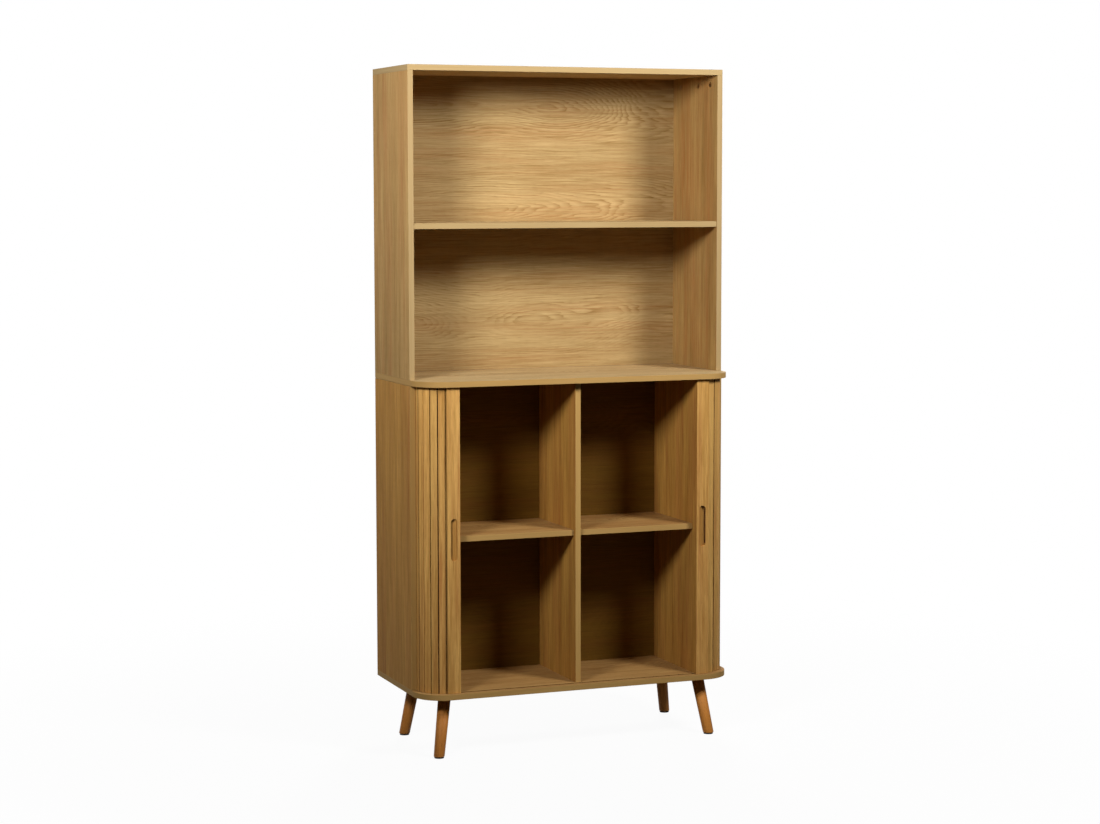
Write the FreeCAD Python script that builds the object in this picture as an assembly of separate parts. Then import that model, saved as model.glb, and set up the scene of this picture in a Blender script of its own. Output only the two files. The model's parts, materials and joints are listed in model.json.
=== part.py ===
import FreeCAD, Part
import math
import os

V = FreeCAD.Vector
os.makedirs("parts", exist_ok=True)

# Bookcase on a tambour cabinet. Millimetres, +X to the right, +Y to the rear, +Z up.
# The origin is on the floor, under the middle of the cabinet boards.

# ---- Overall sizes -----------------------------------------------------------
width = 900.0
depth = 396.0
height = 1818.0
board = 15.0
panel = 5.0
hutch_depth = 302.0
leg_height = 160.0
cabinet_level = 998.0
hutch_shelf_level = 1407.0
half_shelf_level = 587.0
corner_radius = 82.0

# ---- Cabinet inside ----------------------------------------------------------
side_setback = 8.0
pocket_width = 79.0
wall_front_setback = 30.0
half_shelf_setback = 40.0
half_shelf_clearance = 0.5
inner_back_setback = 98.0
wall_rear_lip = 7.0
hutch_shelf_setback = 2.0
rear_panel_setback = 3.0
hutch_back_setback = 7.0
panel_groove_depth = 6.0
housing_depth = 4.0

# ---- Tambour curtains --------------------------------------------------------
slat_pitch = 20.0
slat_front_width = 19.4
slat_back_width = 18.2
slat_thickness = 8.0
slat_chamfer = 1.5
slat_side_clearance = 1.0
slat_end_clearance = 0.6
track_setback = 22.0
track_radius = 62.0
track_width = 6.0
track_depth = 8.0
track_overrun = 20.0
tenon_thickness = 5.0
tenon_length = 12.0
tenon_height = 6.5
canvas_thickness = 0.8
canvas_margin = 10.0
pocket_overlap = 28.0
named_corner_slats = 5

# ---- Lead slats with their finger pulls --------------------------------------
lead_width = 35.0
lead_thickness = 18.0
lead_proud = 7.0
lead_chamfer = 1.5
lead_tenon_length = 18.0
lead_clearance = 1.0
pull_width = 18.0
pull_height = 111.0
pull_level = 582.0
pull_inset = 17.0
pull_deep = 9.2
pull_shallow = 1.4
pull_floor_flat = 3.0

# ---- Legs --------------------------------------------------------------------
leg_side_inset = 82.5
leg_front_inset = 65.7
leg_rear_inset = 81.4
leg_splay = 24.5
leg_top_diameter = 34.0
leg_foot_diameter = 29.0
glide_height = 4.0
glide_diameter = 26.0
leg_flats = 32
leg_bolt_diameter = 8.0
leg_bolt_length = 46.0
leg_bolt_play = 1.0
insert_diameter = 12.0
insert_height = 12.0

# ---- Fittings ----------------------------------------------------------------
cam_diameter = 15.0
cam_depth = 12.5
cam_distance = 24.0
cam_bolt_diameter = 6.0
cam_bolt_anchor = 11.0
cam_bolt_bore = 8.0
dowel_diameter = 8.0
dowel_length = 30.0
dowel_anchor = 11.0
screw_diameter = 5.0
screw_head = 9.0
screw_head_height = 3.0
screw_length = 50.0
shelf_pin_diameter = 5.0
shelf_pin_length = 15.0
shelf_pin_anchor = 7.0
fitting_flats = 8

# ---- Places of the fittings, from the front and rear edges of their boards -------
hutch_cam_front = 48.0
hutch_cam_middle = 124.0
hutch_cam_rear = 60.0
hutch_dowel_front = 22.0
hutch_dowel_rear = 30.0
hutch_screw_inset = 100.0
shelf_cam_front = 60.0
shelf_cam_rear = 70.0
cabinet_cam_front = 54.0
cabinet_cam_rear = 60.0
shelf_pin_inset = 40.0

# ---- Levels and planes that follow from the sizes ------------------------------
half_width = width / 2
front = -depth / 2
rear = depth / 2
base_low = leg_height
base_high = base_low + board
deck_high = cabinet_level
deck_low = deck_high - board
crown_low = height - board
hutch_front = rear - hutch_depth
side_face = half_width - board
wall_front = front + wall_front_setback
wall_face = side_face - pocket_width - board
wall_back_face = wall_face + board
inner_back_front = rear - inner_back_setback
wall_rear = inner_back_front + panel + wall_rear_lip
half_shelf_front = front + half_shelf_setback
hutch_back_front = rear - hutch_back_setback - panel
rear_panel_front = rear - rear_panel_setback - panel

# The middle line of the curtain: along the front, round the front corner, back
# along the side pocket, round the rear corner and in behind the inner back.
track_x = side_face - slat_side_clearance - slat_thickness / 2
track_front = front + track_setback
track_rear = rear - track_setback
arc_x = track_x - track_radius
front_arc_y = track_front + track_radius
rear_arc_y = track_rear - track_radius
quarter = track_radius * math.pi / 2
side_run = rear_arc_y - front_arc_y
side_front = front_arc_y + side_setback

# Fully open, the lead slat's leading edge stands just clear of the inner wall's face.
lead_open = wall_face - lead_clearance
lead_trailing = lead_open + lead_width
lead_front = track_front - slat_thickness / 2 - lead_proud
lead_back = lead_front + lead_thickness
first_slat = lead_trailing + lead_clearance + slat_pitch / 2 - arc_x
covered = arc_x + quarter + (side_front - front_arc_y) + pocket_overlap - lead_width
slat_count = math.ceil(covered / slat_pitch)


# ---- Small builders -----------------------------------------------------------
def block(x0, x1, y0, y1, z0, z1):
    return Part.makeBox(x1 - x0, y1 - y0, z1 - z0, V(x0, y0, z0))


def rod(diameter, start, direction, length):
    return Part.makeCylinder(diameter / 2, length, start, direction)


def outline_of_flats(diameter, centre, direction, flats):
    # A regular outline across a direction, which stands for a circle where a true one
    # would be heavy: round a hundred hidden fittings, and round four tapered legs.
    turns = [2 * math.pi * k / flats for k in range(flats + 1)]
    outline = Part.makePolygon([V(math.cos(a), math.sin(a), 0) * (diameter / 2) for a in turns])
    outline.Placement = FreeCAD.Placement(centre, FreeCAD.Rotation(V(0, 0, 1), direction))
    return outline


def fitting(diameter, start, direction, length, flats=fitting_flats):
    # A fitting inside the boards, or the hole that it fills.
    return Part.Face(outline_of_flats(diameter, start, direction, flats)).extrude(direction * length)


def mirrored(shape):
    return shape.mirror(V(0, 0, 0), V(1, 0, 0))


def prism(points, z0, z1):
    corners = [V(x, y, z0) for x, y in points]
    face = Part.Face(Part.makePolygon(corners + corners[:1]))
    return face.extrude(V(0, 0, z1 - z0))


def group(solids):
    return Part.makeCompound(solids)


def save(name, shape):
    solids = shape.Solids
    kept = solids[0] if len(solids) == 1 else Part.makeCompound(solids)
    kept.exportStep("parts/" + name + ".step")


# ---- The track -----------------------------------------------------------------
def rounded_slab(half_x, y0, y1, front_radius, rear_radius, z0, z1):
    # A slab seen from above as a rectangle with its own front and rear corner radii.
    slab = block(-half_x, half_x, y0, y1, z0, z1)
    for y, radius in ((y0, front_radius), (y1, rear_radius)):
        if radius > 0:
            upright = [e for e in slab.Edges if e.BoundBox.ZLength > (z1 - z0) / 2]
            corners = [e for e in upright if abs(e.BoundBox.YMin - y) < 0.01]
            slab = slab.makeFillet(radius, corners)
    return slab


def track_ring(offset_out, offset_in, z0, z1):
    # The band between two offsets of the curtain's middle line.
    outer_r = track_radius + offset_out
    inner_r = track_radius - offset_in
    outer = rounded_slab(
        track_x + offset_out, track_front - offset_out, track_rear + offset_out,
        outer_r, outer_r, z0, z1)
    inner = rounded_slab(
        track_x - offset_in, track_front + offset_in, track_rear - offset_in,
        inner_r, inner_r, z0 - 1, z1 + 1)
    return outer.cut(inner)


def track_place(s):
    # Point on the middle line, and the turn there, at distance s past the front
    # straight. The right-hand curtain: s grows from the front corner to the rear run.
    if s < quarter:
        a = s / track_radius
        return V(arc_x + track_radius * math.sin(a), front_arc_y - track_radius * math.cos(a), 0), a
    if s < quarter + side_run:
        return V(track_x, front_arc_y + s - quarter, 0), math.pi / 2
    if s < 2 * quarter + side_run:
        a = math.pi / 2 + (s - quarter - side_run) / track_radius
        return V(arc_x + track_radius * math.sin(a), rear_arc_y - track_radius * math.cos(a), 0), a
    return V(arc_x - (s - 2 * quarter - side_run), track_rear, 0), math.pi


track_end = first_slat + slat_count * slat_pitch - 2 * quarter - side_run
rear_stop = arc_x - max(track_end, 0) - track_overrun


# ---- Boards of the cabinet ------------------------------------------------------
def dowel_hole(x, y, level, up):
    # Half of a dowel's hole, sunk into a horizontal board from one of its faces.
    return fitting(dowel_diameter, V(x, y, level), V(0, 0, 1 if up else -1), dowel_anchor)


side_mid = half_width - board / 2
cabinet_cam_ys = [side_front + cabinet_cam_front, rear - cabinet_cam_rear]
cabinet_dowel_y = (side_front + rear) / 2
hutch_cam_ys = [hutch_front + hutch_cam_front, hutch_front + hutch_cam_middle, rear - hutch_cam_rear]
hutch_dowel_ys = [hutch_front + hutch_dowel_front, rear - hutch_dowel_rear]
hutch_screw_ys = [hutch_front + hutch_screw_inset, rear - hutch_screw_inset]
shelf_cam_ys = [hutch_front + shelf_cam_front, rear - shelf_cam_rear]
shelf_dowel_y = (hutch_front + rear) / 2
pin_ys = [half_shelf_front + shelf_pin_inset, inner_back_front - shelf_pin_inset]
housed_low = base_high - housing_depth
housed_high = deck_low + housing_depth
panel_reach = side_face + panel_groove_depth
inner_reach = wall_face + panel_groove_depth

leg_spots = [
    (sx * (half_width - leg_side_inset), y, sx, sy)
    for sx in (-1, 1)
    for y, sy in ((front + leg_front_inset, -1), (rear - leg_rear_inset, 1))
]


def cam_spots():
    # Every cam in the cabinet: its board's middle plane, the face it opens on,
    # its depth direction, its y, and whether it pulls up or down.
    spots = []
    for sx in (-1, 1):
        for up in (True, False):
            for y in cabinet_cam_ys:
                spots.append((sx * side_mid, sx * side_face, sx, y, up))
    return spots


def housed_uprights():
    # The two inner walls and the divider stand in shallow housings in both boards.
    wall = block(wall_face, wall_back_face, wall_front, wall_rear, housed_low, housed_high)
    middle = block(-board / 2, board / 2, wall_front, inner_back_front, housed_low, housed_high)
    return wall, middle


def cabinet_board(z0, z1, track_low, track_high, inside, up):
    slab = rounded_slab(half_width, front, rear, corner_radius, 0, z0, z1)
    ring = track_ring(track_width / 2, track_width / 2, track_low, track_high)
    gap = block(-rear_stop, rear_stop, rear_arc_y, rear, track_low - 1, track_high + 1)
    slab = slab.cut(ring.cut(gap))
    # Grooves for the rear panel and the inner back.
    deep = panel_groove_depth if up else -panel_groove_depth
    low, high = sorted((inside, inside + deep))
    for reach, y in ((panel_reach, rear_panel_front), (inner_reach, inner_back_front)):
        slab = slab.cut(block(-reach, reach, y, y + panel, low, high))
    wall, middle = housed_uprights()
    slab = slab.cut(group([wall, mirrored(wall), middle]))
    way = V(0, 0, 1 if up else -1)
    holes = []
    for x_mid, face, sx, y, pulls_up in cam_spots():
        if pulls_up == up:
            holes.append(fitting(cam_bolt_diameter, V(x_mid, y, inside), way, cam_bolt_anchor))
    for sx in (-1, 1):
        holes.append(dowel_hole(sx * side_mid, cabinet_dowel_y, inside, up))
    return slab.cut(group(holes))


bottom_board = cabinet_board(
    base_low, base_high, base_high - track_depth, base_high + 1, base_high, False)
insert_holes = [fitting(insert_diameter, V(x, y, base_low), V(0, 0, 1), insert_height)
                for x, y, sx, sy in leg_spots]
bottom_board = bottom_board.cut(group(insert_holes))

top_board = cabinet_board(
    deck_low, deck_high, deck_low - 1, deck_low + track_depth, deck_low, True)


def hutch_screw(x, y):
    # Its head is sunk in the underside of the cabinet's top, its shank in the hutch side.
    shank = fitting(screw_diameter, V(x, y, deck_low), V(0, 0, 1), screw_length)
    head = fitting(screw_head, V(x, y, deck_low), V(0, 0, 1), screw_head_height)
    return shank.fuse(head).removeSplitter()


hutch_screws = [hutch_screw(sx * side_mid, y) for sx in (-1, 1) for y in hutch_screw_ys]
hutch_base_dowels = [fitting(dowel_diameter, V(sx * side_mid, y, deck_high - dowel_anchor),
                             V(0, 0, 1), dowel_length)
                     for sx in (-1, 1) for y in hutch_dowel_ys]
top_board = top_board.cut(group(hutch_screws + hutch_base_dowels))


# ---- Cams, their bolts and the dowels -------------------------------------------
cam_bolt_length = cam_bolt_anchor + cam_distance - cam_diameter / 2


def cam(face_x, sx, y, z, form):
    # A drum sunk in from the face at face_x. Only those that can be seen are truly round.
    return form(cam_diameter, V(face_x, y, z), V(sx, 0, 0), cam_depth)


def cam_bolt(x, y, plane, up):
    # Anchored in the horizontal board at plane and reaching into the cam. The board
    # is above the upright when up is true.
    way = 1 if up else -1
    start = V(x, y, plane + way * cam_bolt_anchor)
    return fitting(cam_bolt_diameter, start, V(0, 0, -way), cam_bolt_length)


def cam_bore(x, y, plane, up):
    # The wider hole along the upright's edge that the bolt passes through.
    way = 1 if up else -1
    return fitting(cam_bolt_bore, V(x, y, plane), V(0, 0, -way), cam_distance)


cabinet_cams = []
cabinet_bolts = []
for x_mid, face, sx, y, up in cam_spots():
    plane = deck_low if up else base_high
    z = plane - cam_distance if up else plane + cam_distance
    cabinet_cams.append(cam(face, sx, y, z, fitting))
    cabinet_bolts.append(cam_bolt(x_mid, y, plane, up))

cabinet_dowels = []
for plane in (base_high, deck_low):
    start = plane - dowel_anchor if plane == base_high else plane + dowel_anchor
    way = V(0, 0, 1 if plane == base_high else -1)
    for sx in (-1, 1):
        at_side = V(sx * side_mid, cabinet_dowel_y, start)
        cabinet_dowels.append(fitting(dowel_diameter, at_side, way, dowel_length))


# ---- Uprights and shelves of the cabinet ------------------------------------------
side_right = block(side_face, half_width, side_front, rear, base_high, deck_low)
side_right = side_right.cut(block(
    side_face, side_face + panel_groove_depth, rear_panel_front, rear_panel_front + panel,
    base_high, deck_low))
side_bores = [cam_bore(side_mid, y, plane, up)
              for y in cabinet_cam_ys for plane, up in ((deck_low, True), (base_high, False))]
side_right = side_right.cut(group(cabinet_cams + side_bores + cabinet_dowels))

wall_right, divider = housed_uprights()
wall_right = wall_right.cut(block(
    wall_face, inner_reach, inner_back_front, inner_back_front + panel, housed_low, housed_high))
pins = []
for sx in (-1, 1):
    for y in pin_ys:
        z = half_shelf_level - board - shelf_pin_diameter / 2
        x = sx * (wall_face + shelf_pin_anchor)
        pins.append(fitting(shelf_pin_diameter, V(x, y, z), V(-sx, 0, 0), shelf_pin_length))
        x = sx * (board / 2 - shelf_pin_anchor)
        pins.append(fitting(shelf_pin_diameter, V(x, y, z), V(sx, 0, 0), shelf_pin_length))
wall_right = wall_right.cut(group(pins))
divider = divider.cut(group(pins))

half_shelf_right = block(
    board / 2 + half_shelf_clearance, wall_face - half_shelf_clearance,
    half_shelf_front, inner_back_front - half_shelf_clearance,
    half_shelf_level - board, half_shelf_level)

# Thin panels, let into grooves all round: one behind the compartments, one at the rear.
inner_back = block(
    -inner_reach, inner_reach, inner_back_front, inner_back_front + panel,
    base_high - panel_groove_depth, deck_low + panel_groove_depth)
rear_panel = block(
    -panel_reach, panel_reach, rear_panel_front, rear_panel_front + panel,
    base_high - panel_groove_depth, deck_low + panel_groove_depth)

save("cabinet_bottom", bottom_board)
save("cabinet_top", top_board)
save("cabinet_side_right", side_right)
save("cabinet_side_left", mirrored(side_right))
save("inner_wall_right", wall_right)
save("inner_wall_left", mirrored(wall_right))
save("divider", divider)
save("half_shelf_right", half_shelf_right)
save("half_shelf_left", mirrored(half_shelf_right))
save("inner_back", inner_back)
save("cabinet_rear_panel", rear_panel)
save("cabinet_cams", group(cabinet_cams))
save("cabinet_cam_bolts", group(cabinet_bolts))
save("cabinet_dowels", group(cabinet_dowels))
save("half_shelf_pins", group(pins))


# ---- Hutch: two sides, a top lying over them, a shelf and a back panel ------------
hutch_bolts = [cam_bolt(side_mid, y, crown_low, True) for y in hutch_cam_ys]
hutch_cams = [cam(side_face, 1, y, crown_low - cam_distance, rod) for y in hutch_cam_ys]
hutch_top_dowels = [fitting(dowel_diameter, V(side_mid, y, crown_low + dowel_anchor),
                            V(0, 0, -1), dowel_length) for y in hutch_dowel_ys]

# The shelf's cams are in its underside, and their bolts stick out of the sides.
shelf_mid = hutch_shelf_level - board / 2
shelf_low = hutch_shelf_level - board
shelf_bolts = []
shelf_cams = []
shelf_cuts = []
for y in shelf_cam_ys:
    start = V(side_face + cam_bolt_anchor, y, shelf_mid)
    shelf_bolts.append(fitting(cam_bolt_diameter, start, V(-1, 0, 0), cam_bolt_length))
    spot = V(side_face - cam_distance, y, shelf_low)
    shelf_cams.append(fitting(cam_diameter, spot, V(0, 0, 1), cam_depth))
    shelf_cuts.append(fitting(cam_bolt_bore, V(side_face, y, shelf_mid), V(-1, 0, 0), cam_distance))
shelf_dowel = fitting(
    dowel_diameter, V(side_face + dowel_anchor, shelf_dowel_y, shelf_mid), V(-1, 0, 0), dowel_length)

hutch_side = block(side_face, half_width, hutch_front, rear, deck_high, crown_low)
hutch_side = hutch_side.cut(block(
    side_face, side_face + panel_groove_depth, hutch_back_front, hutch_back_front + panel,
    deck_high, crown_low))
side_cuts = hutch_cams + [cam_bore(side_mid, y, crown_low, True) for y in hutch_cam_ys]
side_cuts += hutch_top_dowels + hutch_base_dowels + hutch_screws + shelf_bolts + [shelf_dowel]
hutch_side = hutch_side.cut(group(side_cuts))

hutch_top = block(-half_width, half_width, hutch_front, rear, crown_low, height)
hutch_top = hutch_top.cut(block(
    -panel_reach, panel_reach, hutch_back_front, hutch_back_front + panel,
    crown_low, crown_low + panel_groove_depth))
top_cuts = hutch_bolts + hutch_top_dowels
hutch_top = hutch_top.cut(group(top_cuts + [mirrored(s) for s in top_cuts]))

shelf_cuts += shelf_cams + [shelf_dowel]
hutch_shelf = block(
    -side_face, side_face, hutch_front + hutch_shelf_setback, hutch_back_front,
    shelf_low, hutch_shelf_level)
hutch_shelf = hutch_shelf.cut(group(shelf_cuts + [mirrored(s) for s in shelf_cuts]))

hutch_back = block(
    -panel_reach, panel_reach, hutch_back_front, hutch_back_front + panel,
    deck_high, crown_low + panel_groove_depth)

save("hutch_side_right", hutch_side)
save("hutch_side_left", mirrored(hutch_side))
save("hutch_top", hutch_top)
save("hutch_shelf", hutch_shelf)
save("hutch_back", hutch_back)
all_cams = hutch_cams + shelf_cams
save("hutch_cams", group(all_cams + [mirrored(s) for s in all_cams]))
all_bolts = hutch_bolts + shelf_bolts
save("hutch_cam_bolts", group(all_bolts + [mirrored(s) for s in all_bolts]))
all_dowels = hutch_top_dowels + [shelf_dowel]
save("hutch_dowels", group(all_dowels + [mirrored(s) for s in all_dowels] + hutch_base_dowels))
save("hutch_base_screws", group(hutch_screws))


# ---- Tambour slats -----------------------------------------------------------------
slat_low = base_high + slat_end_clearance
slat_high = deck_low - slat_end_clearance


def slat(s):
    # One slat standing on the track at distance s, its front face outwards, with a
    # tenon at each end that rides in the grooves of the two boards.
    f = slat_front_width / 2
    b = slat_back_width / 2
    t = slat_thickness / 2
    c = slat_chamfer
    outline = [(-b, t), (b, t), (f, -t + c), (f - c, -t), (c - f, -t), (-f, -t + c)]
    body = prism(outline, slat_low, slat_high)
    half_l = tenon_length / 2
    half_t = tenon_thickness / 2
    z0 = slat_low - tenon_height
    tenon = block(-half_l, half_l, -half_t, half_t, z0, slat_high + tenon_height)
    body = body.fuse(tenon).removeSplitter()
    point, turn = track_place(s)
    body.rotate(V(0, 0, 0), V(0, 0, 1), math.degrees(turn))
    body.translate(point)
    return body


right_slats = [slat(first_slat + k * slat_pitch) for k in range(slat_count)]
for k in range(named_corner_slats):
    save("right_corner_slat_" + str(k + 1), right_slats[k])
    save("left_corner_slat_" + str(k + 1), mirrored(right_slats[k]))
save("right_pocket_slats", group(right_slats[named_corner_slats:]))
save("left_pocket_slats", group([mirrored(s) for s in right_slats[named_corner_slats:]]))

# The canvas that the slats are glued to, one piece from the lead slat to the last slat.
canvas_out = slat_thickness / 2
sheet = track_ring(
    -canvas_out, canvas_out + canvas_thickness, slat_low + canvas_margin, slat_high - canvas_margin)
canvas_right = sheet.common(block(0, width, front, rear, 0, height))
canvas_right = canvas_right.cut(block(
    0, lead_trailing + lead_clearance, front, front_arc_y, 0, height))
canvas_right = canvas_right.cut(block(
    0, arc_x - max(track_end, 0) + slat_pitch / 2, rear_arc_y, rear, 0, height))
save("right_curtain_canvas", canvas_right)
save("left_curtain_canvas", mirrored(canvas_right))


# ---- Lead slat: a thick stile with a stadium-shaped finger pull ---------------------
def lead_slat():
    c = lead_chamfer
    x0, x1, y0, y1 = lead_open, lead_trailing, lead_front, lead_back
    outline = [(x0 + c, y0), (x1 - c, y0), (x1, y0 + c), (x1, y1), (x0, y1), (x0, y0 + c)]
    body = prism(outline, slat_low, slat_high)
    mid = lead_open + pull_inset
    half_t = tenon_thickness / 2
    start = mid - lead_tenon_length / 2
    z0 = slat_low - tenon_height
    tenon = block(start, start + lead_tenon_length, track_front - half_t, track_front + half_t,
                  z0, slat_high + tenon_height)
    body = body.fuse(tenon).removeSplitter()
    # The pull: its floor falls from the leading side to the side towards the pocket.
    r = pull_width / 2
    low = pull_level - pull_height / 2 + r
    high = pull_level + pull_height / 2 - r
    pull = block(mid - r, mid + r, y0 - 1, y0 + pull_deep, low, high)
    pull = pull.fuse(rod(pull_width, V(mid, y0 - 1, low), V(0, 1, 0), pull_deep + 1))
    pull = pull.fuse(rod(pull_width, V(mid, y0 - 1, high), V(0, 1, 0), pull_deep + 1))
    fall = [(mid - r - 1, y0 - 2), (mid + r + 1, y0 - 2), (mid + r + 1, y0 + pull_deep),
            (mid + r - pull_floor_flat, y0 + pull_deep), (mid - r - 1, y0 + pull_shallow)]
    pull = pull.common(prism(fall, 0, height))
    return body.cut(pull)


right_lead = lead_slat()
save("right_lead_slat", right_lead)
save("left_lead_slat", mirrored(right_lead))


# ---- Legs, their bolts and inserts, and the glides -----------------------------------
leg_names = {(-1, -1): "front_left", (1, -1): "front_right", (-1, 1): "rear_left", (1, 1): "rear_right"}
leg_bolts = []
inserts = []
for x, y, sx, sy in leg_spots:
    name = leg_names[(sx, sy)]
    top = V(x, y, base_low)
    fall = V(sx * leg_splay, sy * leg_splay, -leg_height)
    unit = V(fall).normalize()
    # Turned longer than needed, tilted outwards both ways, and sawn level at both ends.
    spare = leg_top_diameter
    taper = (leg_top_diameter - leg_foot_diameter) / fall.Length * spare
    upper = outline_of_flats(leg_top_diameter + taper, top - unit * spare, unit, leg_flats)
    lower = outline_of_flats(leg_foot_diameter - taper, top + fall + unit * spare, unit, leg_flats)
    turned = Part.makeLoft([upper, lower], True, True)
    leg = turned.common(block(-width, width, -depth, depth, glide_height, base_low))
    bolt_low = base_low + insert_height - leg_bolt_play - leg_bolt_length
    bolt = fitting(leg_bolt_diameter, V(x, y, bolt_low), V(0, 0, 1), leg_bolt_length)
    sleeve = fitting(insert_diameter, top, V(0, 0, 1), insert_height)
    foot = top + fall
    ground = V(foot.x - sx * leg_splay * glide_height / leg_height,
               foot.y - sy * leg_splay * glide_height / leg_height, 0)
    save("glide_" + name, fitting(glide_diameter, ground, V(0, 0, 1), glide_height, leg_flats))
    save("leg_" + name, leg.cut(bolt))
    leg_bolts.append(bolt)
    inserts.append(sleeve.cut(bolt))
save("leg_bolts", group(leg_bolts))
save("leg_inserts", group(inserts))
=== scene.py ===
# %% [markdown]
# # A tall bookcase on a cabinet with tambour doors
#
# An open hutch with one shelf stands on a deeper cabinet. The cabinet's two doors are
# tambours: upright slats glued to canvas, which slide along a groove and disappear round
# the corners. Everything is oak-look board with banded edges, on four turned legs.
#
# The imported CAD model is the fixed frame. Its boards already have the right shape, down
# to the grooves and the holes of the fittings, so the work here is to soften their
# edges, band them, and give each piece a wood grain that runs the way its maker laid it.

# %% Load the frame
import json
import math

import bmesh
import bpy
from mathutils import Matrix, Vector

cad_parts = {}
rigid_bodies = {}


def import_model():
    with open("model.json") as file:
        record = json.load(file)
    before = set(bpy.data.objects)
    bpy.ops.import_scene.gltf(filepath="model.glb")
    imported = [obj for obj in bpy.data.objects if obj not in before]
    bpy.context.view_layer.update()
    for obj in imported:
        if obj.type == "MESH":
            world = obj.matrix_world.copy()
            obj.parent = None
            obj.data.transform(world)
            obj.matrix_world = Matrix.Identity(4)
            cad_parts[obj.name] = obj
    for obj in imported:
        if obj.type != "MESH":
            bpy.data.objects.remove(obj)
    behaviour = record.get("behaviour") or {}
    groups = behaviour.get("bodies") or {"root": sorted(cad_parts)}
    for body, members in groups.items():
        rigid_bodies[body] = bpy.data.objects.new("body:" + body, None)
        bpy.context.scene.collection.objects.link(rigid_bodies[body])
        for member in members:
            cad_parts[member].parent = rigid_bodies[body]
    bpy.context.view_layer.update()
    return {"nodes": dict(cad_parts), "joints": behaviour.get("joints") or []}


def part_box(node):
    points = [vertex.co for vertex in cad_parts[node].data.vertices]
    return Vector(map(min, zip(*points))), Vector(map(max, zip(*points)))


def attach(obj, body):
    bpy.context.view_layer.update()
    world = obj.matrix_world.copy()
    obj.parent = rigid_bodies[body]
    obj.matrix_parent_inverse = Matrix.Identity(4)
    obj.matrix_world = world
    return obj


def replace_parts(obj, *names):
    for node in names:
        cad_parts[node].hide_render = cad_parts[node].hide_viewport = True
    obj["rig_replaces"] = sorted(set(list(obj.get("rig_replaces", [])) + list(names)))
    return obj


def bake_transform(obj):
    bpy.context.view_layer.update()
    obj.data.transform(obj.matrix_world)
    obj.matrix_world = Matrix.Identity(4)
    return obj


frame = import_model()


# %% [markdown]
# ## The camera
#
# A short telephoto lens, a little above the hutch's shelf, left of the bookcase and
# turned towards it. The position and the angles are those at which the bookcase's edges
# fall where they should, so the camera needs no shift. The numbers are the lens's focal
# length in pixels for a picture 1100 pixels wide, its place in metres and its angles.

# %% Camera
picture_width = 1100
focal_pixels = 2420.0
sensor_width = 36.0
camera_place = Vector((-2.4068, -6.1128, 1.4959))
camera_turn = math.radians(-21.372)
camera_tilt = math.radians(-5.267)
camera_roll = math.radians(-0.079)

lens = bpy.data.cameras.new("camera")
lens.sensor_fit = "HORIZONTAL"
lens.sensor_width = sensor_width
lens.lens = focal_pixels / picture_width * sensor_width
lens.clip_end = 100
camera = bpy.data.objects.new("camera", lens)
camera.matrix_world = (
    Matrix.Translation(camera_place)
    @ Matrix.Rotation(camera_turn, 4, "Z")
    @ Matrix.Rotation(math.radians(90) + camera_tilt, 4, "X")
    @ Matrix.Rotation(camera_roll, 4, "Z")
)
bpy.context.scene.collection.objects.link(camera)
bpy.context.scene.camera = camera
print("lens", round(lens.lens, 1), "mm")


# %% [markdown]
# ## Writing materials as sums
#
# A material is a net of nodes. Reading such a net in code is hard when every sum takes
# four lines, so one small class stands for a value that varies over the surface, and its
# operators add the Math nodes. Every other node comes from one method, which sets the
# node up, fills its sockets and hands back the output that was asked for.

# %% Material helpers
def linear(red, green, blue):
    # A colour as a paint chart gives it, 0 to 255, in the linear light that shaders use.
    def channel(c):
        c = c / 255
        return c / 12.92 if c <= 0.04045 else ((c + 0.055) / 1.055) ** 2.4
    return (channel(red), channel(green), channel(blue), 1.0)


class Value:
    # A value that varies over a surface. Sums and products on it add Math nodes.
    def __init__(self, finish, socket):
        self.finish = finish
        self.socket = socket

    def maths(self, operation, *values):
        return self.finish.node("ShaderNodeMath", {"operation": operation}, values)

    def __add__(self, other):
        return self.maths("ADD", self, other)

    def __radd__(self, other):
        return self.maths("ADD", other, self)

    def __sub__(self, other):
        return self.maths("SUBTRACT", self, other)

    def __rsub__(self, other):
        return self.maths("SUBTRACT", other, self)

    def __mul__(self, other):
        return self.maths("MULTIPLY", self, other)

    def __rmul__(self, other):
        return self.maths("MULTIPLY", other, self)

    def __truediv__(self, other):
        return self.maths("DIVIDE", self, other)

    def __pow__(self, other):
        return self.maths("POWER", self, other)


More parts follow.
